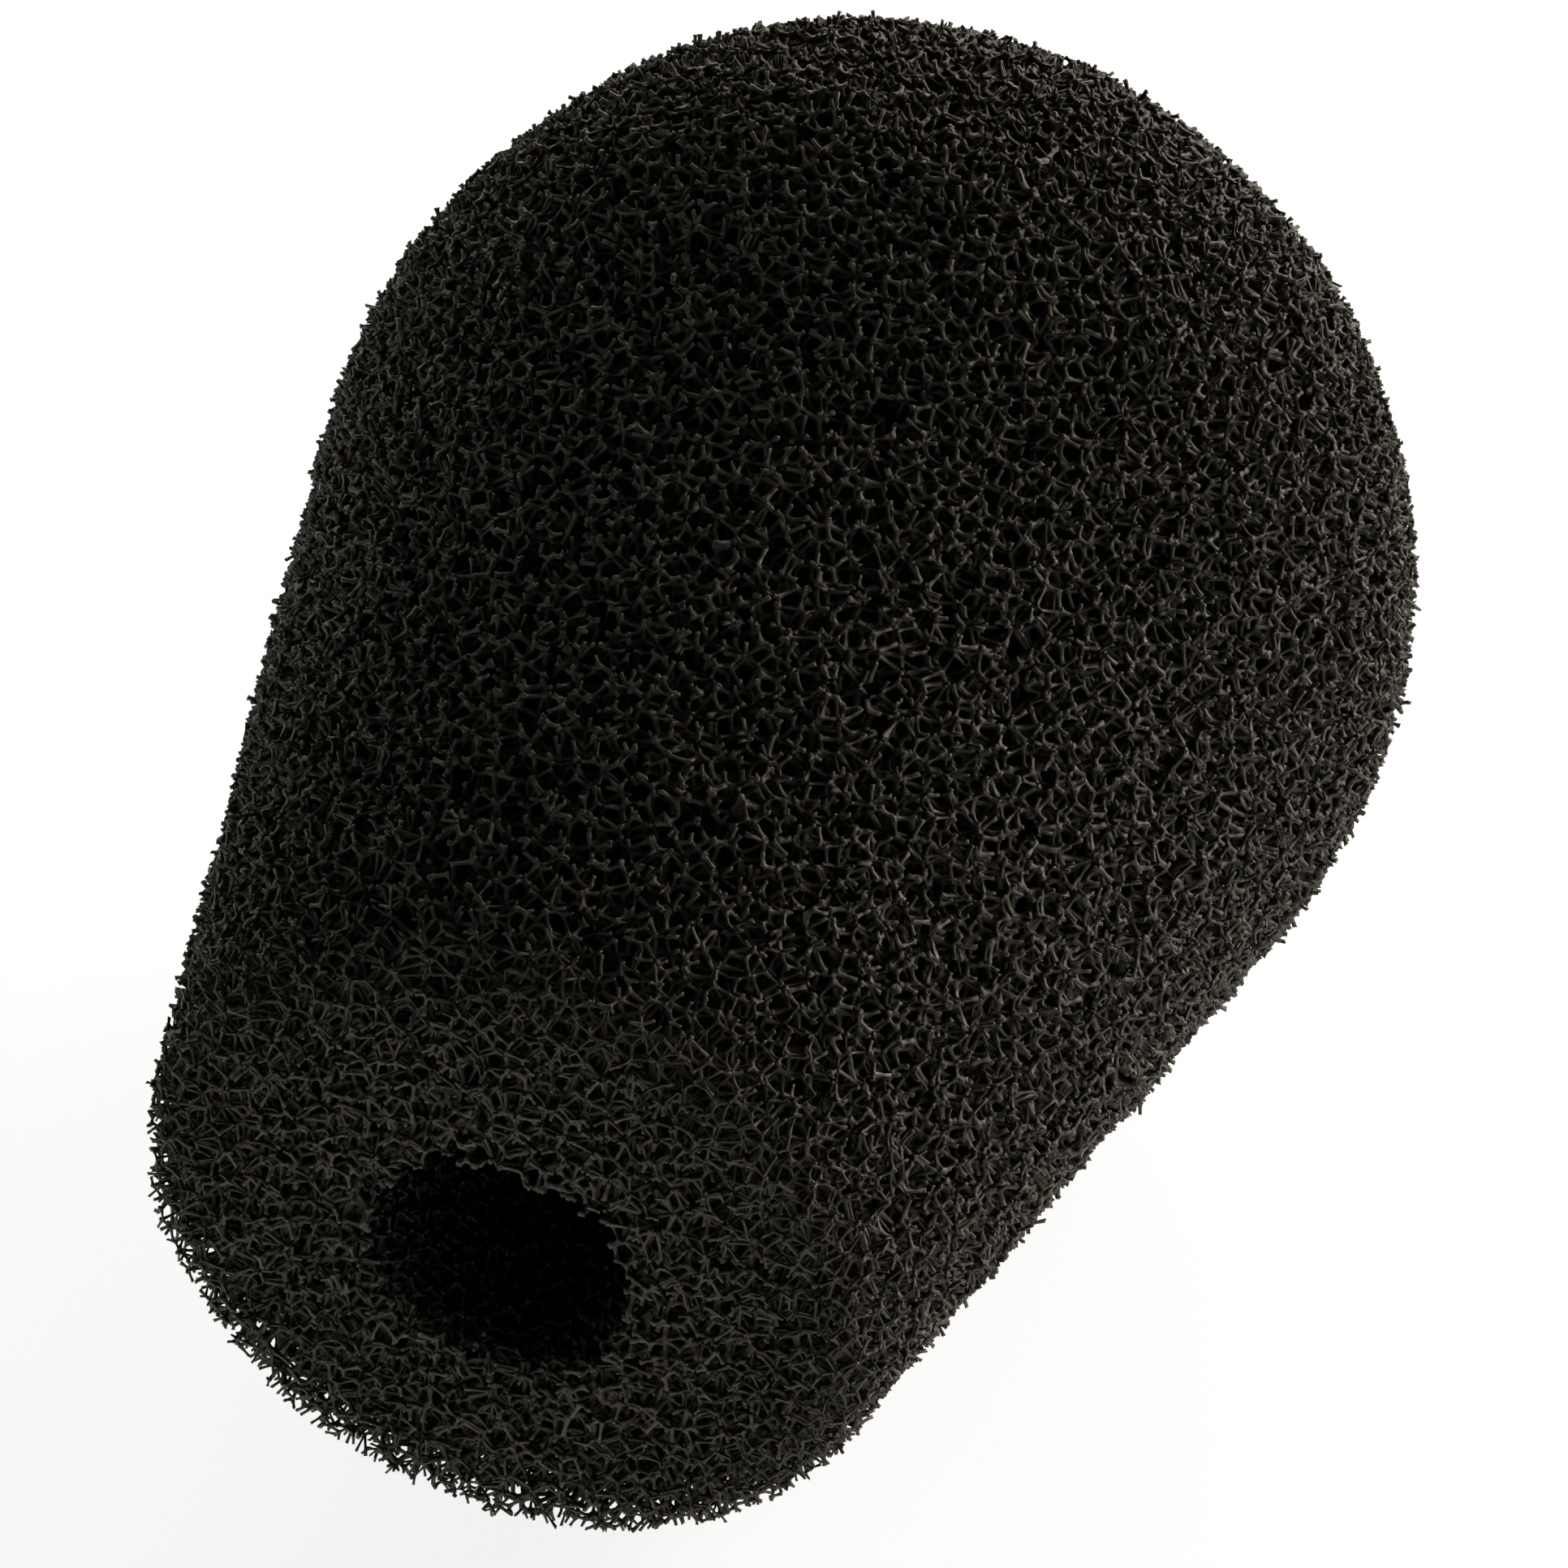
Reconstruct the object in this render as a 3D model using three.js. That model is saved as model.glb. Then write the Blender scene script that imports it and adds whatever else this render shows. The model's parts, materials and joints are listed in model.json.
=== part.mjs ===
// A foam windscreen for a small microphone: a ball that runs into a straight taper, ends in a flat
// round base, and is bored from the base to the middle of the ball. It is one piece of foam.
// Millimetres, +Z up. It lies on its taper, as on a table, with the mouth of the bore facing -Y.
// The origin is under the middle of its box, on the surface that it lies on.
import * as THREE from "three";

// Sizes along the bore are measured from the flat base.
const BALL_RADIUS = 17;
const BALL_CENTRE = 31.5;
const TAPER_ANGLE = THREE.MathUtils.degToRad(11.4);
const RIM_ROUNDING = 1.7;
const BORE_RADIUS = 4;
const BORE_DEPTH = 30;

// The foam is turned in flat strips, with one strip's middle straight down, so that it rests on it.
const SIDES = 48;
const BALL_STEPS = 16;
const RIM_STEPS = 4;
const BORE_END_STEPS = 4;

// Points of an arc about (0 or radius, height), from one angle to the other; 0 points away from the axis.
function arc(centreRadius, centreHeight, radius, from, to, steps) {
  const points = [];
  for (let step = 0; step <= steps; step += 1) {
    const angle = from + ((to - from) * step) / steps;
    const out = centreRadius + radius * Math.cos(angle);
    const up = centreHeight + radius * Math.sin(angle);
    points.push(new THREE.Vector2(out, up));
  }
  return points;
}

// The outline from the closed end of the bore, out of the mouth, round the rim and up to the crown.
function outline() {
  const quarter = Math.PI / 2;
  const taperOffset = BALL_RADIUS - BALL_CENTRE * Math.sin(TAPER_ANGLE);
  const rimInset = RIM_ROUNDING * (1 - Math.sin(TAPER_ANGLE));
  const rimCentre = (taperOffset - rimInset) / Math.cos(TAPER_ANGLE);
  const boreEnd = arc(0, BORE_DEPTH - BORE_RADIUS, BORE_RADIUS, quarter, 0, BORE_END_STEPS);
  const mouth = new THREE.Vector2(BORE_RADIUS, 0);
  const rim = arc(rimCentre, RIM_ROUNDING, RIM_ROUNDING, -quarter, -TAPER_ANGLE, RIM_STEPS);
  const ball = arc(0, BALL_CENTRE, BALL_RADIUS, -TAPER_ANGLE, quarter, BALL_STEPS);
  boreEnd[0].x = 0;
  ball[ball.length - 1].x = 0;
  return [...boreEnd, mouth, ...rim, ...ball];
}

function foamWindscreen() {
  const foam = new THREE.MeshStandardMaterial({ color: 0x1c1b18, roughness: 0.95, metalness: 0 });
  const stripMiddleDown = Math.PI / SIDES;
  const mesh = new THREE.Mesh(new THREE.LatheGeometry(outline(), SIDES, stripMiddleDown), foam);
  mesh.name = "foam_windscreen";
  return mesh;
}

// Leans the bore until the lowest strip of the taper is level, and stands that strip on Z = 0.
function layOnTaper(mesh) {
  const lying = new THREE.Group();
  lying.rotation.x = Math.atan(Math.tan(TAPER_ANGLE) * Math.cos(Math.PI / SIDES));
  lying.add(mesh);
  const box = new THREE.Box3().setFromObject(lying, true);
  const middle = box.getCenter(new THREE.Vector3());
  lying.position.set(-middle.x, -middle.y, -box.min.z);
  const group = new THREE.Group();
  group.add(lying);
  return group;
}

export default layOnTaper(foamWindscreen());
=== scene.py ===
"""A foam windscreen for a small microphone, lying on its taper on a pale floor.

The foam is built as open-cell foam is: cells packed at random, with a strut of material along every
edge where three cells meet and none on the walls between them. The outer cells are modelled strut by
strut, cut off along the body's outline, and a core in painted shade, near black, stands for the depth behind
them.
"""
import json
import math
from itertools import combinations

import bpy
import numpy as np
from mathutils import Matrix, Vector, noise
from mathutils.kdtree import KDTree

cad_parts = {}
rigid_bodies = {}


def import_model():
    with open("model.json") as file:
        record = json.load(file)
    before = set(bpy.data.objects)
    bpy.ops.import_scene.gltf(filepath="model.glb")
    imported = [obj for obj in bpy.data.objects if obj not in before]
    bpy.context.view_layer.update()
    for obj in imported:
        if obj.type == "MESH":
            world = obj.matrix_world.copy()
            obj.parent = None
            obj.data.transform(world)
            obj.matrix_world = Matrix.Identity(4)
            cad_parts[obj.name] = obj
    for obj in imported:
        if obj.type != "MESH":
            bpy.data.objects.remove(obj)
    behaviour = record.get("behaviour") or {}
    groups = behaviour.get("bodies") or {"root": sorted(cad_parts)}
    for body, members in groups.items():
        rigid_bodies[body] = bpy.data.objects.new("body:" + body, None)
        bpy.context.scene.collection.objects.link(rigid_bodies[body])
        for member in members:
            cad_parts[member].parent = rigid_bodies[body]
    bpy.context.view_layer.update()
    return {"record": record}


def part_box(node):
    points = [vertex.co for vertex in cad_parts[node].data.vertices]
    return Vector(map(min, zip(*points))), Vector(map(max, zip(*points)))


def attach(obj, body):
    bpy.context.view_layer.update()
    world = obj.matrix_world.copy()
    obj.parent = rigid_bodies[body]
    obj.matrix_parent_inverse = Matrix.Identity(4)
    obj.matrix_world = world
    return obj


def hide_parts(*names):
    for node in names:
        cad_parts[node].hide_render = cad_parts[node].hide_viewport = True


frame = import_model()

rng = np.random.default_rng(7)

# The body's sizes, in metres, measured from the flat base along the bore, as in the CAD.
BALL_RADIUS = 0.017
BALL_CENTRE = 0.0315
TAPER_ANGLE = math.radians(11.4)
RIM_ROUNDING = 0.0017
BORE_RADIUS = 0.004
BORE_DEPTH = 0.030
ARC_STEPS = 32
QUARTER = math.pi / 2

# The cells' seeds: a body-centred lattice, turned and shaken until no rows show, and how far past the
# modelled foam it reaches.
CELL = 0.00065
LATTICE_STEP = CELL * 2 ** (1 / 3)
LATTICE_TURN = 0.6
LATTICE_TURN_AXIS = (0.5, 0.3, 0.8)
SHAKE = 0.3
SEED_MARGIN = 1.7 * CELL

# The search for corners: how many neighbours may share a corner with a seed, how many of those that come
# later in the list are tried, how many must lie outside the sphere, the widest sphere, how close to it a
# seed may come by rounding, and how many seeds are searched at once.
NEAR_SEEDS = 26
TRIED_SEEDS = 18
CHECKED_SEEDS = 58
WIDEST_SPHERE = 1.15 * CELL
ROUNDING_SLACK = 1e-7
SEARCH_BATCH = 600

# How thick the struts are where they meet, how much that varies and how far they narrow in between.
# Struts deeper than the waist depth are left straight.
STRUT_CORNER = 0.000118
STRUT_LEAST, STRUT_MOST = 0.85, 1.2
STRUT_WAIST = 0.70
WAIST_DEPTH = 0.0003
# They are thinner near the base's outer edge, at this (distance from the axis, height), so that light
# comes through it.
RIM_PLACE = np.array([0.0108, 0.0])
RIM_THINNING = 0.36
RIM_THINNING_REACH = 0.0065

# The cut surface: how far it rises and falls, over what length, and how far cut struts stand out. A few
# stray ones stand out further, the fewer the higher their rarity, and those in the bore, which is cut
# clean, stand out less. A cut strut keeps at least the stub's share of its length.
SURFACE_WAVE = 0.00016
SURFACE_WAVE_LENGTH = 0.0022
TRIM_LOW, TRIM_HIGH = -0.00006, 0.00010
TRIM_STRAY = 0.00030
STRAY_RARITY = 4
BORE_TRIM = 0.00016
SHORTEST_STUB = 0.12

# The outer cells go this deep, and further at the base, where light comes through its edge.
SHELL_DEPTH = 0.00105
CORE_NOSE_RADIUS = 0.0022
CORE_NOSE_HEIGHT = 0.0060
CORE_OVERLAP = 0.35 * CELL
CORE_SEGMENTS = 96
# The foam is in wedges round the bore, which keeps each below 200,000 triangles.
WEDGES = 20

# Colours, as linear red, green and blue.
FOAM_CHARCOAL = (0.0345, 0.0316, 0.0246)
FOAM_BROWN = (0.0430, 0.0373, 0.0272)
FOAM_DUSTY = (0.0525, 0.0484, 0.0390)
FOAM_SHINE = (1, 0.9, 0.76, 1)
# Painted shade: the core's colours, far darker than the foam's own, stand for the shade in the foam's depth,
# the holes darkest.
DEPTH_HOLE_PAINTED_SHADE = (0.0012, 0.0011, 0.0010)
DEPTH_STRUT_PAINTED_SHADE = (0.0060, 0.0053, 0.0042)
FLOOR_LOW = (0.29, 0.29, 0.29)
FLOOR_HIGH = (0.31, 0.31, 0.31)
FLOOR_GLOW = 0.87
NEUTRAL_WHITE = (1.0, 1.0, 1.0)
WARM_WHITE = (1.0, 0.955, 0.86)

# The bore's wall is painted this share as light as the rest, as painted shade in the recess, because the
# photo shows it black from the lip on. In metres, the painted shade starts at the mouth, is full a little
# way in, and fades out beyond the wall and the end.
BORE_PAINTED_SHADE = 0.22
SHADE_AT_MOUTH = (-0.1 * CELL, 0.9 * CELL)
SHADE_BEYOND_WALL = (BORE_RADIUS + 1.5 * CELL, BORE_RADIUS + 0.3 * CELL)
SHADE_BEYOND_END = (BORE_DEPTH + 5 * CELL, BORE_DEPTH + 3 * CELL)

# How long the colours' patches are, in metres.
BROWN_PATCH = 0.004
DUST_MOTTLE = 0.00025
FLOOR_PATCH = 0.05

# The room: its walls' and ceiling's light, and the heights (as sines of elevation) where one gives way.
WALL_LIGHT, CEILING_LIGHT = 0.90, 0.02
WALL_TOP, CEILING_EDGE = 0.05, 0.20
SOFT_BOX_SIDE = 0.6
SOFT_BOX_DISTANCE = 0.8
FLOOR_SIDE = 6

# The camera, seen from the part: where it stands and the point it looks at.
CAMERA_AZIMUTH = 20.13
CAMERA_ELEVATION = 31.52
CAMERA_DISTANCE = 0.306
CAMERA_TARGET = (0.00038, 0.0, 0.01398)
CAMERA_LENS = 231.8

NODE = "foam_windscreen"
MOUTH = next(m for m in frame["record"]["mounts"] if m["name"] == "base_face")
BORE_AXIS = -np.array(MOUTH["axis"])
MOUTH_CENTRE = np.array([0.0, MOUTH["pos_m"][1], MOUTH["pos_m"][2]])
BOX_LOW, BOX_HIGH = (np.array(corner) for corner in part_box(NODE))
MIDDLE = (BOX_LOW + BOX_HIGH) / 2
# Two directions square to the bore.
SIDE = np.array([1.0, 0, 0])
UP = np.cross(BORE_AXIS, SIDE)


# ---------------------------------------------------------------- outlines

def arc(centre_radius, centre_height, radius, start, end, steps):
    """Points (distance from the bore's axis, height) along an arc; angle 0 points away from the axis."""
    angles = np.linspace(start, end, steps + 1)
    return np.stack(
        [centre_radius + radius * np.cos(angles), centre_height + radius * np.sin(angles)], axis=1
    )


def body_outline():
    """The foam's outline from the closed end of the bore, out of the mouth and up to the crown."""
    taper_offset = BALL_RADIUS - BALL_CENTRE * math.sin(TAPER_ANGLE)
    rim_centre = (taper_offset - RIM_ROUNDING * (1 - math.sin(TAPER_ANGLE))) / math.cos(TAPER_ANGLE)
    return np.concatenate([
        arc(0, BORE_DEPTH - BORE_RADIUS, BORE_RADIUS, QUARTER, 0, ARC_STEPS // 4),
        [(BORE_RADIUS, 0)],
        arc(rim_centre, RIM_ROUNDING, RIM_ROUNDING, -QUARTER, -TAPER_ANGLE, ARC_STEPS // 4),
        arc(0, BALL_CENTRE, BALL_RADIUS, -TAPER_ANGLE, QUARTER, ARC_STEPS),
    ])


def core_outline():
    """The core's outline: the body's, drawn in by the shell's depth, with a round nose behind the base."""
    bore_radius = BORE_RADIUS + SHELL_DEPTH
    nose = CORE_NOSE_RADIUS
    nose_height = CORE_NOSE_HEIGHT + nose
    taper_offset = BALL_RADIUS - SHELL_DEPTH - BALL_CENTRE * math.sin(TAPER_ANGLE)
    outer_centre = (taper_offset - nose + nose_height * math.sin(TAPER_ANGLE)) / math.cos(TAPER_ANGLE)
    inner_centre = bore_radius + nose
    return np.concatenate([
        arc(0, BORE_DEPTH - BORE_RADIUS, bore_radius, QUARTER, 0, ARC_STEPS // 4),
        arc(inner_centre, nose_height, nose, -math.pi, -QUARTER, ARC_STEPS // 4),
        arc(outer_centre, nose_height, nose, -QUARTER, -TAPER_ANGLE, ARC_STEPS // 4),
        arc(0, BALL_CENTRE, BALL_RADIUS - SHELL_DEPTH, -TAPER_ANGLE, QUARTER, ARC_STEPS),
    ])


def to_local(points):
    """World points as (distance from the bore's axis, height above the base plane)."""
    offset = points - MOUTH_CENTRE
    height = offset @ BORE_AXIS
    radius = np.linalg.norm(offset - height[:, None] * BORE_AXIS, axis=1)
    return np.stack([radius, height], axis=1)


def distance_to(outline, points):
    """Signed distance from world points to the surface turned from an outline, negative inside."""
    local = to_local(points)
    nearest = np.full(len(local), np.inf)
    inside = np.zeros(len(local), bool)
    for start, end in zip(outline[:-1], outline[1:]):
        edge = end - start
        along = np.clip((local - start) @ edge / (edge @ edge), 0, 1)
        gap = local - start - along[:, None] * edge
        nearest = np.minimum(nearest, np.einsum("ij,ij->i", gap, gap))
        if start[1] != end[1]:
            spans = (local[:, 1] < start[1]) != (local[:, 1] < end[1])
            crossing = start[0] + (local[:, 1] - start[1]) / edge[1] * edge[0]
            inside ^= spans & (local[:, 0] < crossing)
    return np.where(inside, -1, 1) * np.sqrt(nearest)


# ---------------------------------------------------------------- cells and their corners

def scatter_seeds(body, core):
    """One seed for each cell of the outer foam."""
    reach = np.linalg.norm(BOX_HIGH - BOX_LOW) / 2 + 2 * CELL
    count = int(reach / LATTICE_STEP) + 1
    line = np.arange(-count, count + 1) * LATTICE_STEP
    lattice = np.stack(np.meshgrid(line, line, line, indexing="ij"), axis=-1).reshape(-1, 3)
    lattice = np.concatenate([lattice, lattice + LATTICE_STEP / 2])
    turn = np.array(Matrix.Rotation(LATTICE_TURN, 3, Vector(LATTICE_TURN_AXIS)))
    seeds = lattice @ turn.T + MIDDLE
    in_box = (seeds > BOX_LOW - SEED_MARGIN) & (seeds < BOX_HIGH + SEED_MARGIN)
    seeds = seeds[np.all(in_box, axis=1)]
    seeds = seeds + rng.uniform(-SHAKE, SHAKE, seeds.shape) * LATTICE_STEP
    outside_body = distance_to(body, seeds)
    outside_core = distance_to(core, seeds)
    return seeds[(outside_body < SEED_MARGIN) & (outside_core > -SEED_MARGIN)]


def nearest_seeds(seeds):
    """For each seed, the indices of the seeds round it, nearest first."""
    tree = KDTree(len(seeds))
    for index, seed in enumerate(seeds):
        tree.insert(seed, index)
    tree.balance()
    found = np.array([[hit[1] for hit in tree.find_n(seed, CHECKED_SEEDS + 1)] for seed in seeds])
    return found[:, 1:]


TRIPLES = np.array(list(combinations(range(TRIED_SEEDS), 3)))


def sphere_centres(offset):
    """The centres of the spheres through a seed and each three of its neighbours, seen from the seed."""
    b, c, d = TRIPLES.T
    square = np.einsum("ijk,ijk->ij", offset, offset)
    cross = np.cross(offset[:, :, None], offset[:, None, :])
    volume = 2 * np.einsum("ijk,ijk->ij", offset[:, b], cross[:, c, d])
    centre = (square[:, b, None] * cross[:, c, d] + square[:, c, None] * cross[:, d, b]
              + square[:, d, None] * cross[:, b, c])
    with np.errstate(divide="ignore", invalid="ignore"):
        return centre / volume[:, :, None]


def corners_of(index, seeds, neighbours):
    """The corners found from a batch of seeds: the four seeds round each, and its place."""
    close = neighbours[index, :NEAR_SEEDS]
    order = np.argsort(close <= index[:, None], axis=1, kind="stable")[:, :TRIED_SEEDS]
    later = np.take_along_axis(close, order, axis=1)
    usable = later > index[:, None]
    centre = sphere_centres(seeds[later] - seeds[index][:, None])
    square = np.einsum("ijk,ijk->ij", centre, centre)
    b, c, d = TRIPLES.T
    good = (square < WIDEST_SPHERE ** 2) & usable[:, b] & usable[:, c] & usable[:, d]
    row, column = np.nonzero(good)
    centre, square = centre[row, column], square[row, column]
    # the nearest seeds rule out most spheres, which leaves few to check against them all
    for limit in (NEAR_SEEDS, CHECKED_SEEDS):
        around = seeds[neighbours[index[row], :limit]] - seeds[index[row]][:, None]
        gap = np.einsum("ijk,ijk->ij", around - centre[:, None], around - centre[:, None])
        empty = np.all(gap > square[:, None] * (1 - ROUNDING_SLACK), axis=1)
        row, column, centre, square = row[empty], column[empty], centre[empty], square[empty]
    others = [later[row, which[column]] for which in (b, c, d)]
    return np.sort(np.stack([index[row], *others], axis=1), axis=1), centre + seeds[index[row]]


def find_corners(seeds):
    """Where four cells meet: each four seeds with no other seed in the sphere through them."""
    neighbours = nearest_seeds(seeds)
    groups, corners = [], []
    for start in range(0, len(seeds), SEARCH_BATCH):
        index = np.arange(start, min(start + SEARCH_BATCH, len(seeds)))
        batch_groups, batch_corners = corners_of(index, seeds, neighbours)
        groups.append(batch_groups)
        corners.append(batch_corners)
    return np.concatenate(groups), np.concatenate(corners)


# ---------------------------------------------------------------- struts

# A corner's four cells are 0 to 3. Each wall between two of them has one point of the corner's hub, and
# each strut, named by the cell it leaves out, has the three points of the walls that meet along it.
WALLS = list(combinations(range(4), 2))
WALLS_ROUND_STRUT = np.array([[n for n, wall in enumerate(WALLS) if out not in wall] for out in range(4)])
WALLS_ROUND_CELL = np.array([[n for n, wall in enumerate(WALLS) if cell in wall] for cell in range(4)])


def strut_directions(seeds, groups):
    """Unit vectors along the four struts that leave each corner, each named by the cell it leaves out."""
    directions = np.empty((len(groups), 4, 3))
    for out in range(4):
        p, q, r = (seeds[groups[:, c]] for c in range(4) if c != out)
        normal = np.cross(q - p, r - p)
        away = np.einsum("ij,ij->i", normal, p - seeds[groups[:, out]])
        normal *= np.where(away > 0, 1, -1)[:, None]
        directions[:, out] = normal / np.linalg.norm(normal, axis=1)[:, None]
    return directions


def hub_points(corners, directions, reach):
    """Six points round each corner, one out along each wall between two of its cells."""
    points = np.empty((len(corners), 6, 3))
    for wall, (i, j) in enumerate(WALLS):
        m, n = (c for c in range(4) if c not in (i, j))
        out = directions[:, m] + directions[:, n]
        out /= np.linalg.norm(out, axis=1)[:, None]
        points[:, wall] = corners + out * reach[:, None]
    return points


def pair_struts(groups):
    """Struts between corners that share three cells: (corner, strut) at one end and at the other."""
    corner = np.repeat(np.arange(len(groups)), 4)
    out = np.tile(np.arange(4), len(groups))
    shared = np.stack([np.delete(groups, o, axis=1) for o in range(4)], axis=1).reshape(-1, 3)
    base = np.int64(groups.max() + 1)
    key = (shared[:, 0] * base + shared[:, 1]) * base + shared[:, 2]
    order = np.argsort(key, kind="stable")
    same = key[order][:-1] == key[order][1:]
    first, second = order[:-1][same], order[1:][same]
    return np.stack([corner[first], out[first]], axis=1), np.stack([corner[second], out[second]], axis=1)


class Network:
    """Every corner and strut of the outer foam, which the wedges are cut from.

    A strut's ends, first and second, are each a corner and the strut's number there.
    """

    def __init__(self):
        body, core = body_outline(), core_outline()
        self.seeds = scatter_seeds(body, core)
        self.groups, self.corners = find_corners(self.seeds)
        self.local = to_local(self.corners)
        self.depth = self.surface_depth(body)
        self.kept = (self.depth < 0) & (distance_to(core, self.corners) > -CORE_OVERLAP)
        directions = strut_directions(self.seeds, self.groups)
        self.hubs = hub_points(self.corners, directions, self.strut_reach())
        self.first, self.second = self.kept_struts()
        self.wedge = self.wedge_numbers()
        self.trim = self.cut_heights()

    def surface_depth(self, body):
        """Each corner's distance to the uneven cut surface or the floor, negative inside."""
        waves = np.array([noise.noise(Vector(corner) / SURFACE_WAVE_LENGTH) for corner in self.corners])
        depth = distance_to(body, self.corners) + SURFACE_WAVE * waves
        return np.maximum(depth, -self.corners[:, 2])

    def strut_reach(self):
        """How far each corner's hub reaches."""
        distance = np.linalg.norm(self.local - RIM_PLACE, axis=1)
        rim_share = np.clip(1 - distance / RIM_THINNING_REACH, 0, 1)
        spread = rng.uniform(STRUT_LEAST, STRUT_MOST, len(self.corners))
        return STRUT_CORNER * spread * (1 - RIM_THINNING * rim_share)

    def kept_struts(self):
        """The struts with an end that is kept, with that end first."""
        first, second = pair_struts(self.groups)
        flip = ~self.kept[first[:, 0]]
        first[flip], second[flip] = second[flip].copy(), first[flip].copy()
        live = self.kept[first[:, 0]]
        return first[live], second[live]

    def wedge_numbers(self):
        """The wedge that each corner is in."""
        offset = self.corners - MOUTH_CENTRE
        turn = np.arctan2(offset @ UP, offset @ SIDE) / (2 * math.pi)
        return np.floor(turn * WEDGES).astype(int) % WEDGES

    def cut_heights(self):
        """How far past the surface each strut is cut off, if it crosses it."""
        count = len(self.first)
        trim = rng.uniform(TRIM_LOW, TRIM_HIGH, count) + TRIM_STRAY * rng.random(count) ** STRAY_RARITY
        in_bore = self.local[self.second[:, 0], 0] < BORE_RADIUS + CELL
        return np.where(in_bore, np.minimum(trim, TRIM_HIGH) - BORE_TRIM, trim)


def turned_out(triangles, points, outward):
    """Triangles with their corners swapped where they don't face along outward, and which those are."""
    a, b, c = (points[triangles[:, k]] for k in range(3))
    wrong = np.einsum("ij,ij->i", np.cross(b - a, c - a), outward) < 0
    triangles[wrong] = triangles[wrong][:, [0, 2, 1]]
    return triangles, wrong


def strut_ring(near, far, share):
    """Three points round each strut, a share of the way along it, drawn in towards its waist."""
    ring = near + (far - near) * share[:, None, None]
    centre = ring.mean(axis=1, keepdims=True)
    width = 1 - (1 - STRUT_WAIST) * (1 - (2 * share - 1) ** 2)
    return centre + (ring - centre) * width[:, None, None]


class Wedge:
    """One wedge of the foam: its corners' hubs, the struts that start in it and their cut ends."""

    def __init__(self, net, number):
        self.net = net
        self.name = f"foam_cells_{number + 1:02d}"
        mine = net.kept & (net.wedge == number)
        self.ids = np.nonzero(mine)[0]
        self.place = np.full(len(net.corners), -1)
        self.place[self.ids] = np.arange(len(self.ids)) * 6
        self.hub = net.hubs[self.ids].reshape(-1, 3)
        self.points, self.triangles, self.quads = [self.hub], [], []
        self.count = len(self.hub)
        self.starts_here, self.ends_here = mine[net.first[:, 0]], mine[net.second[:, 0]]
        self.end_kept = net.kept[net.second[:, 0]]
        self.start_depth, self.end_depth = net.depth[net.first[:, 0]], net.depth[net.second[:, 0]]

    def build(self):
        self.add_hub_faces()
        self.add_whole_struts()
        self.add_open_struts()
        self.close_bare_hubs()
        return build_mesh(self.name, np.concatenate(self.points),
                          np.concatenate(self.triangles), np.concatenate(self.quads))

    def add_hub_faces(self):
        """The four faces of each hub, one towards each cell."""
        net = self.net
        for cell in range(4):
            face = self.place[self.ids][:, None] + WALLS_ROUND_CELL[cell]
            outward = net.seeds[net.groups[self.ids, cell]] - net.corners[self.ids]
            self.triangles.append(turned_out(face, self.hub, outward)[0])

    def add_whole_struts(self):
        """Struts with both ends in this wedge. Those near the surface narrow to a waist."""
        whole = self.starts_here & self.ends_here
        near, far, swapped = self.rings_of(whole)
        end = self.ring_at(self.net.second[whole])
        end[swapped] = end[swapped][:, [0, 2, 1]]
        narrows = np.maximum(self.start_depth, self.end_depth)[whole] > -WAIST_DEPTH
        self.join(near[~narrows], end[~narrows])
        near, far, end = near[narrows], far[narrows], end[narrows]
        waist = self.add_ring(strut_ring(self.hub[near], far, np.full(len(near), 0.5)))
        self.join(near, waist)
        self.join(waist, end)

    def add_open_struts(self):
        """Struts that run on into another wedge, or are cut off at the surface, with their end faces."""
        onward = self.starts_here & self.end_kept & ~self.ends_here
        cut = self.starts_here & ~self.end_kept & (self.end_depth > 0)
        span = np.where(cut, self.end_depth - self.start_depth, 1)
        reached = np.clip((self.net.trim - self.start_depth) / span, SHORTEST_STUB, 1)
        share = np.where(cut, reached, 1)[onward | cut]
        near, far, _ = self.rings_of(onward | cut)
        waist = self.add_ring(strut_ring(self.hub[near], far, share / 2))
        tip = self.add_ring(strut_ring(self.hub[near], far, share))
        self.join(near, waist)
        self.join(waist, tip)
        self.triangles.append(tip)

    def close_bare_hubs(self):
        """Close hubs where a strut goes deeper than is modelled, or belongs to another wedge."""
        first, second = self.net.first, self.net.second
        deep = self.starts_here & ~self.end_kept & (self.end_depth <= 0)
        self.close(first[deep], second[deep])
        other = self.ends_here & ~self.starts_here
        self.close(second[other], first[other])

    def ring_at(self, ends):
        """The indices of the three hub points round each strut at one end."""
        return self.place[ends[:, 0]][:, None] + WALLS_ROUND_STRUT[ends[:, 1]]

    def rings_of(self, chosen):
        """The chosen struts' near rings, turned the right way, their far rings' points, and which turned."""
        first, second = self.net.first[chosen], self.net.second[chosen]
        near, swapped = turned_out(self.ring_at(first), self.hub, self.way(first, second))
        far = self.net.hubs[second[:, 0][:, None], WALLS_ROUND_STRUT[second[:, 1]]]
        far[swapped] = far[swapped][:, [0, 2, 1]]
        return near, far, swapped

    def way(self, ends, others):
        """The vectors from struts' one ends to their others."""
        return self.net.corners[others[:, 0]] - self.net.corners[ends[:, 0]]

    def add_ring(self, ring):
        index = self.count + np.arange(len(ring) * 3).reshape(-1, 3)
        self.points.append(ring.reshape(-1, 3))
        self.count += len(ring) * 3
        return index

    def join(self, start, end):
        for k, m in ((0, 1), (1, 2), (2, 0)):
            self.quads.append(np.stack([start[:, k], start[:, m], end[:, m], end[:, k]], axis=1))

    def close(self, ends, others):
        self.triangles.append(turned_out(self.ring_at(ends), self.hub, self.way(ends, others))[0])


# ---------------------------------------------------------------- meshes

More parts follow.
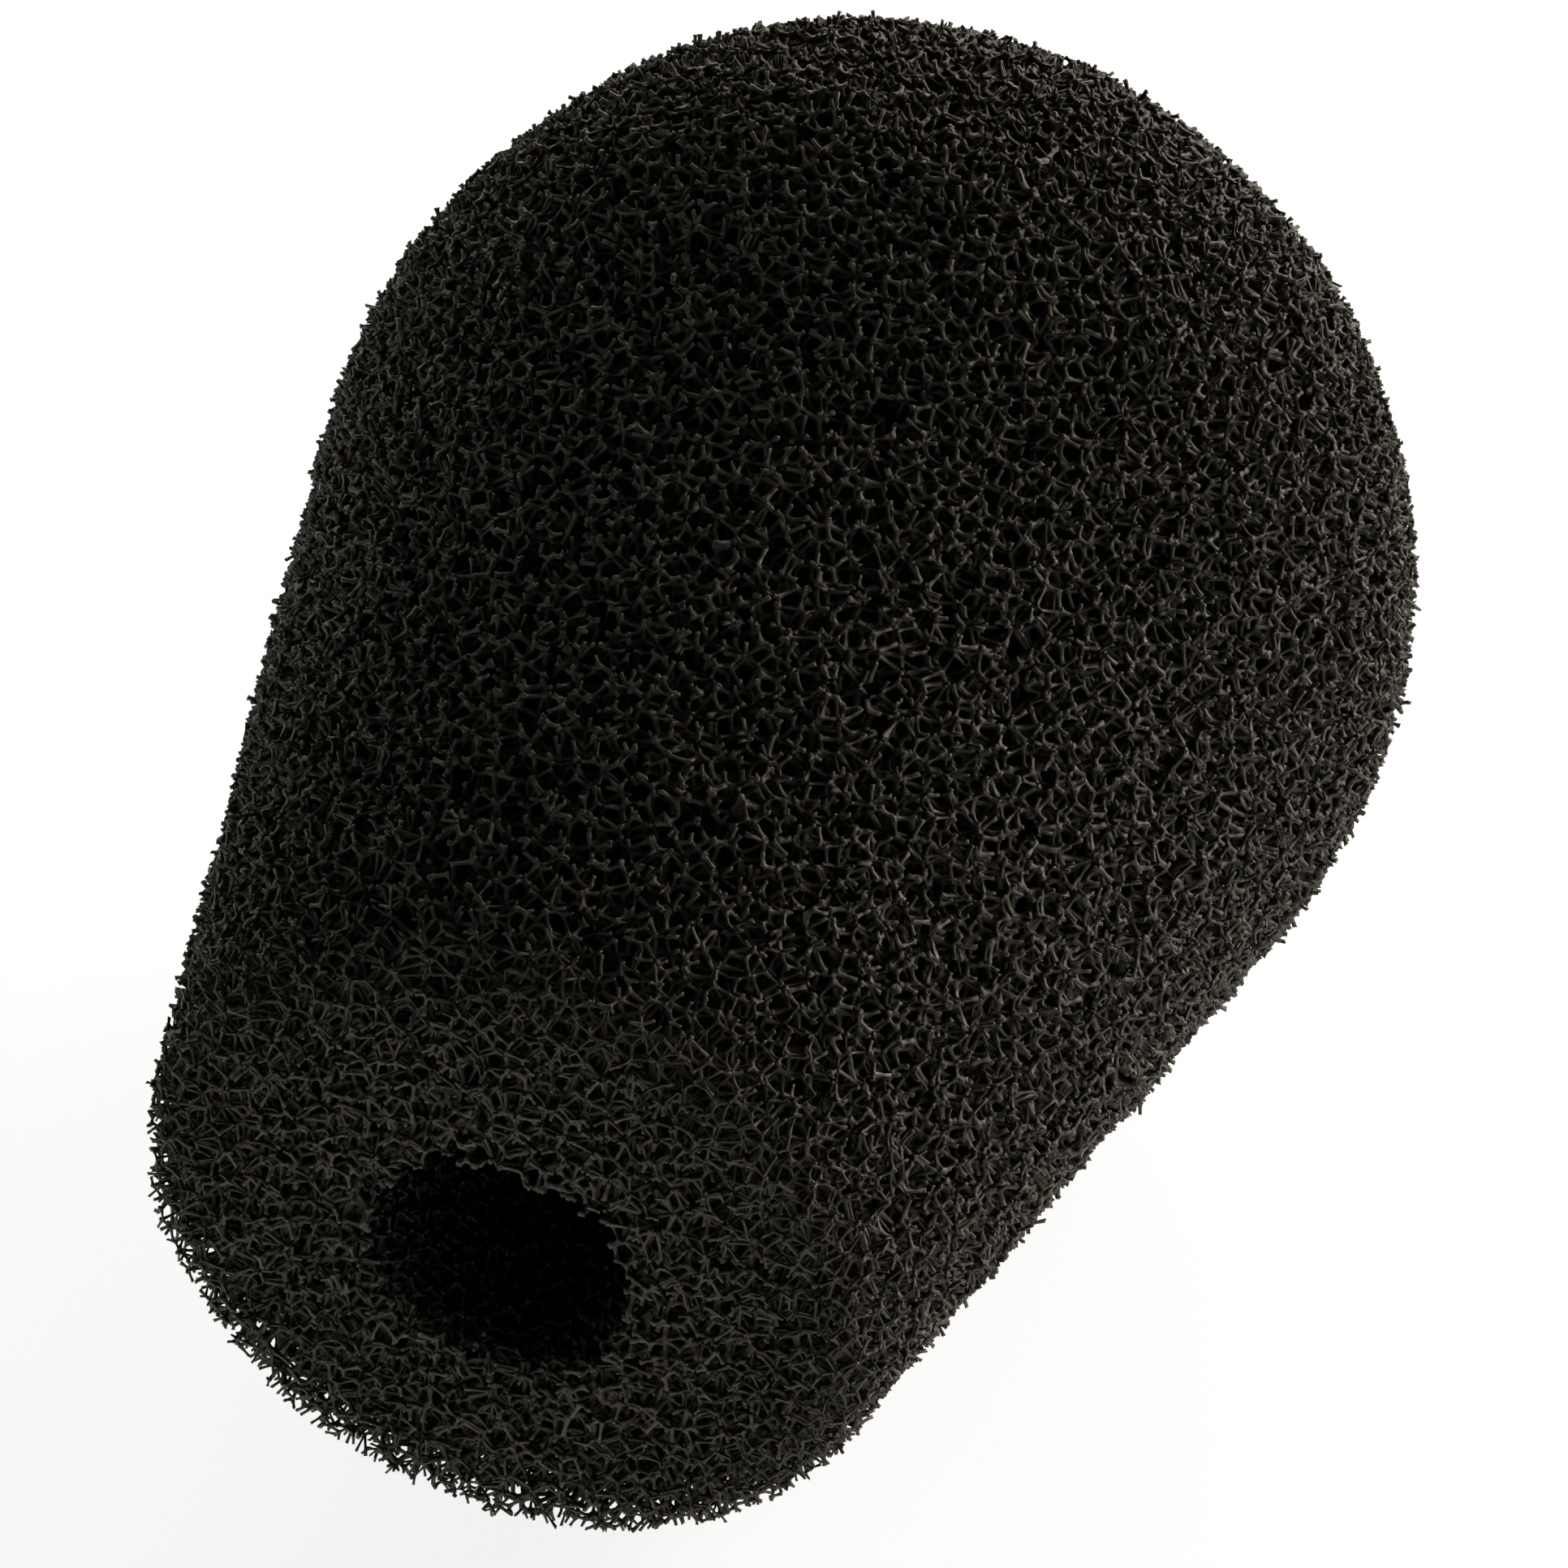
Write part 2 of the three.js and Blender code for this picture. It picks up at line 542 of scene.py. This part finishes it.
def build_mesh(name, points, triangles, quads):
    """A mesh of triangles and quads, pressed flat where it would go under the floor."""
    points[:, 2] = np.maximum(points[:, 2], 0)
    mesh = bpy.data.meshes.new(name)
    mesh.vertices.add(len(points))
    mesh.vertices.foreach_set("co", points.astype(np.float32).ravel())
    loops = np.concatenate([triangles.ravel(), quads.ravel()]).astype(np.int32)
    sizes = np.concatenate([np.full(len(triangles), 3), np.full(len(quads), 4)]).astype(np.int32)
    starts = np.concatenate([[0], np.cumsum(sizes)[:-1]]).astype(np.int32)
    mesh.loops.add(len(loops))
    mesh.loops.foreach_set("vertex_index", loops)
    mesh.polygons.add(len(sizes))
    mesh.polygons.foreach_set("loop_start", starts)
    mesh.update(calc_edges=True)
    mesh.shade_smooth()
    piece = bpy.data.objects.new(name, mesh)
    bpy.context.scene.collection.objects.link(piece)
    return piece


def foam_core_painted_shade():
    """The core behind the outer cells, turned round the bore's axis, whose near-black colour is painted
    shade for the depth.
    """
    outline = core_outline()
    angles = np.arange(CORE_SEGMENTS) * 2 * math.pi / CORE_SEGMENTS
    circle = np.cos(angles)[:, None] * SIDE + np.sin(angles)[:, None] * UP
    rings = outline[1:-1]
    points = (rings[:, None, 0, None] * circle + rings[:, None, 1, None] * BORE_AXIS).reshape(-1, 3)
    ends = outline[[0, -1], 1][:, None] * BORE_AXIS
    points = np.concatenate([points, ends]) + MOUTH_CENTRE
    k = np.arange(CORE_SEGMENTS)
    after = (k + 1) % CORE_SEGMENTS
    quads = np.concatenate([
        np.stack([low + k, low + after, low + CORE_SEGMENTS + after, low + CORE_SEGMENTS + k], axis=1)
        for low in range(0, (len(rings) - 1) * CORE_SEGMENTS, CORE_SEGMENTS)
    ])
    bore_tip, crown = len(points) - 2, len(points) - 1
    last = (len(rings) - 1) * CORE_SEGMENTS
    triangles = np.concatenate([
        np.stack([after, k, np.full(CORE_SEGMENTS, bore_tip)], axis=1),
        np.stack([last + k, last + after, np.full(CORE_SEGMENTS, crown)], axis=1),
    ])
    return build_mesh("foam_core_painted_shade", points, triangles, quads)


# ---------------------------------------------------------------- materials

def new_material(name):
    material = bpy.data.materials.new(name)
    material.use_nodes = True
    nodes = material.node_tree.nodes
    return material, nodes, material.node_tree.links, nodes["Principled BSDF"]


def add_node(nodes, kind, **settings):
    node = nodes.new(kind)
    for setting, value in settings.items():
        setattr(node, setting, value)
    return node


def add_noise(nodes, links, place, wavelength):
    """A noise with bumps about one wavelength across, its middle values spread over 0 to 1."""
    texture = add_node(nodes, "ShaderNodeTexNoise")
    texture.inputs["Scale"].default_value = 1 / wavelength
    texture.inputs["Detail"].default_value = 3
    links.new(place.outputs["Object"], texture.inputs["Vector"])
    return add_range(nodes, links, texture.outputs["Fac"], 0, 1)


def add_range(nodes, links, value, low, high):
    """Spread a noise's middle values over low to high."""
    spread = add_node(nodes, "ShaderNodeMapRange")
    spread.inputs["From Min"].default_value = 0.3
    spread.inputs["From Max"].default_value = 0.7
    spread.inputs["To Min"].default_value = low
    spread.inputs["To Max"].default_value = high
    links.new(value, spread.inputs["Value"])
    return spread.outputs["Result"]


def add_fade(nodes, links, value, start, end):
    """A share that goes smoothly from 0 where value is start to 1 where it is end."""
    fade = add_node(nodes, "ShaderNodeMapRange", interpolation_type="SMOOTHSTEP")
    fade.inputs["From Min"].default_value = start
    fade.inputs["From Max"].default_value = end
    links.new(value, fade.inputs["Value"])
    return fade.outputs["Result"]


def add_blend(nodes, links, factor, first, second):
    """A colour between first and second, which are colours or sockets."""
    mix = add_node(nodes, "ShaderNodeMix", data_type="RGBA")
    links.new(factor, mix.inputs["Factor"])
    for socket, colour in ((mix.inputs["A"], first), (mix.inputs["B"], second)):
        if isinstance(colour, tuple):
            socket.default_value = (*colour, 1)
        else:
            links.new(colour, socket)
    return mix.outputs["Result"]


def add_product(nodes, links, first, second):
    product = add_node(nodes, "ShaderNodeMath", operation="MULTIPLY")
    links.new(first, product.inputs[0])
    links.new(second, product.inputs[1])
    return product.outputs["Value"]


def add_vector(nodes, links, operation, value, fixed=(0, 0, 0)):
    """A vector step between a socket and a fixed vector."""
    step = add_node(nodes, "ShaderNodeVectorMath", operation=operation)
    links.new(value, step.inputs[0])
    step.inputs[1].default_value = fixed
    return step.outputs


def add_painted_bore_shade(nodes, links, place):
    """Where the bore's painted shade goes: 1 on the bore's wall, falling to 0 at its mouth, outside its wall
    and past its closed end.
    """
    offset = add_vector(nodes, links, "SUBTRACT", place.outputs["Object"], MOUTH_CENTRE)["Vector"]
    across = add_vector(nodes, links, "CROSS_PRODUCT", offset, BORE_AXIS)["Vector"]
    radius = add_vector(nodes, links, "LENGTH", across)["Value"]
    height = add_vector(nodes, links, "DOT_PRODUCT", offset, BORE_AXIS)["Value"]
    beside = add_fade(nodes, links, radius, *SHADE_BEYOND_WALL)
    within = add_fade(nodes, links, height, *SHADE_AT_MOUTH)
    before = add_fade(nodes, links, height, *SHADE_BEYOND_END)
    return add_product(nodes, links, add_product(nodes, links, beside, within), before)


def foam_material():
    """Charcoal polyurethane: warm black, a little browner in patches, mottled and dusty along each strut.

    The bore's wall is painted darker, as painted shade for the recess."""
    material, nodes, links, shader = new_material("open_cell_foam")
    place = add_node(nodes, "ShaderNodeTexCoord")
    patches = add_noise(nodes, links, place, BROWN_PATCH)
    mottle = add_noise(nodes, links, place, DUST_MOTTLE)
    patched = add_blend(nodes, links, patches, FOAM_CHARCOAL, FOAM_BROWN)
    colour = add_blend(nodes, links, mottle, patched, FOAM_DUSTY)
    # Painted shade: the bore's wall gets a darker copy of the charcoal colour, fading in from the mouth.
    painted_bore_shade_colour = tuple(BORE_PAINTED_SHADE * value for value in FOAM_CHARCOAL)
    colour = add_blend(nodes, links, add_painted_bore_shade(nodes, links, place), colour, painted_bore_shade_colour)
    links.new(colour, shader.inputs["Base Color"])
    links.new(add_range(nodes, links, mottle, 0.45, 0.65), shader.inputs["Roughness"])
    shader.inputs["Specular IOR Level"].default_value = 0.4
    shader.inputs["Specular Tint"].default_value = FOAM_SHINE
    return material


def core_painted_shade_material():
    """Painted shade for the foam's depth: nearly black, with the faint shapes of the cells behind painted
    on, the holes darkest.
    """
    material, nodes, links, shader = new_material("foam_depth_painted_shade")
    place = add_node(nodes, "ShaderNodeTexCoord")
    cells = add_node(nodes, "ShaderNodeTexVoronoi", feature="DISTANCE_TO_EDGE")
    cells.inputs["Scale"].default_value = 1 / CELL
    links.new(place.outputs["Object"], cells.inputs["Vector"])
    # Painted cell shapes: slightly lighter struts round near-black holes, the holes' darkness being painted
    # shade.
    strut = add_fade(nodes, links, cells.outputs["Distance"], 0.15, 0)
    links.new(add_blend(nodes, links, strut, DEPTH_HOLE_PAINTED_SHADE, DEPTH_STRUT_PAINTED_SHADE), shader.inputs["Base Color"])
    shader.inputs["Roughness"].default_value = 1.0
    shader.inputs["Specular IOR Level"].default_value = 0.0
    return material


def floor_material():
    """A matt pale table that glows like a light box, with a faint unevenness."""
    material, nodes, links, shader = new_material("pale_floor")
    place = add_node(nodes, "ShaderNodeTexCoord")
    tone = add_noise(nodes, links, place, FLOOR_PATCH)
    links.new(add_blend(nodes, links, tone, FLOOR_LOW, FLOOR_HIGH), shader.inputs["Base Color"])
    shader.inputs["Roughness"].default_value = 0.8
    shader.inputs["Specular IOR Level"].default_value = 0.2
    shader.inputs["Emission Color"].default_value = (1, 1, 1, 1)
    shader.inputs["Emission Strength"].default_value = FLOOR_GLOW
    return material


# ---------------------------------------------------------------- stage

def add_piece(piece, material):
    piece.data.materials.append(material)
    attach(piece, "root")
    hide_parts(NODE)


def add_floor():
    bpy.ops.mesh.primitive_plane_add(size=FLOOR_SIDE, location=(0, 0, 0))
    floor = bpy.context.object
    floor.name = "floor"
    floor.data.materials.append(floor_material())


def towards(azimuth, elevation):
    """The unit vector from the part, azimuth 0 being -Y and 90 +X, in degrees."""
    azimuth, elevation = math.radians(azimuth), math.radians(elevation)
    return Vector((math.sin(azimuth) * math.cos(elevation), -math.cos(azimuth) * math.cos(elevation),
                   math.sin(elevation)))


def add_light(name, azimuth, elevation, power, colour):
    """A square soft box that looks at the part."""
    lamp = bpy.data.lights.new(name, "AREA")
    lamp.shape = "SQUARE"
    lamp.size = SOFT_BOX_SIDE
    lamp.energy = power
    lamp.color = colour
    holder = bpy.data.objects.new(name, lamp)
    away = towards(azimuth, elevation)
    holder.location = Vector(MIDDLE) + away * SOFT_BOX_DISTANCE
    holder.rotation_euler = (-away).to_track_quat("-Z", "Y").to_euler()
    bpy.context.scene.collection.objects.link(holder)


def add_world():
    """White walls all round, falling off to a dim ceiling."""
    world = bpy.data.worlds.new("soft_studio")
    bpy.context.scene.world = world
    world.use_nodes = True
    nodes, links = world.node_tree.nodes, world.node_tree.links
    place = add_node(nodes, "ShaderNodeTexCoord")
    split = add_node(nodes, "ShaderNodeSeparateXYZ")
    links.new(place.outputs["Generated"], split.inputs["Vector"])
    fall = add_node(nodes, "ShaderNodeMapRange", interpolation_type="SMOOTHSTEP")
    fall.inputs["From Min"].default_value = WALL_TOP
    fall.inputs["From Max"].default_value = CEILING_EDGE
    fall.inputs["To Min"].default_value = WALL_LIGHT
    fall.inputs["To Max"].default_value = CEILING_LIGHT
    links.new(split.outputs["Z"], fall.inputs["Value"])
    background = nodes["Background"]
    background.inputs["Color"].default_value = (1, 1, 1, 1)
    links.new(fall.outputs["Result"], background.inputs["Strength"])


def add_camera():
    back = towards(CAMERA_AZIMUTH, CAMERA_ELEVATION)
    data = bpy.data.cameras.new("camera")
    data.lens = CAMERA_LENS
    data.clip_start = 0.01
    camera = bpy.data.objects.new("camera", data)
    camera.location = Vector(CAMERA_TARGET) + back * CAMERA_DISTANCE
    camera.rotation_euler = (-back).to_track_quat("-Z", "Y").to_euler()
    bpy.context.scene.collection.objects.link(camera)
    bpy.context.scene.camera = camera


# ---------------------------------------------------------------- build

net = Network()
strut_material = foam_material()
for number in range(WEDGES):
    add_piece(Wedge(net, number).build(), strut_material)
# The core's near-black colour is painted shade for the depth behind the outer cells.
add_piece(foam_core_painted_shade(), core_painted_shade_material())

add_floor()
add_light("back_right_light", azimuth=143, elevation=17, power=5.7, colour=WARM_WHITE)
add_light("rim_light", azimuth=131, elevation=5, power=4.1, colour=WARM_WHITE)
add_light("back_light", azimuth=197, elevation=22, power=3.3, colour=WARM_WHITE)
add_light("left_light", azimuth=-60, elevation=12, power=0.4, colour=NEUTRAL_WHITE)
add_world()
add_camera()
bpy.context.scene.view_settings.view_transform = "Standard"
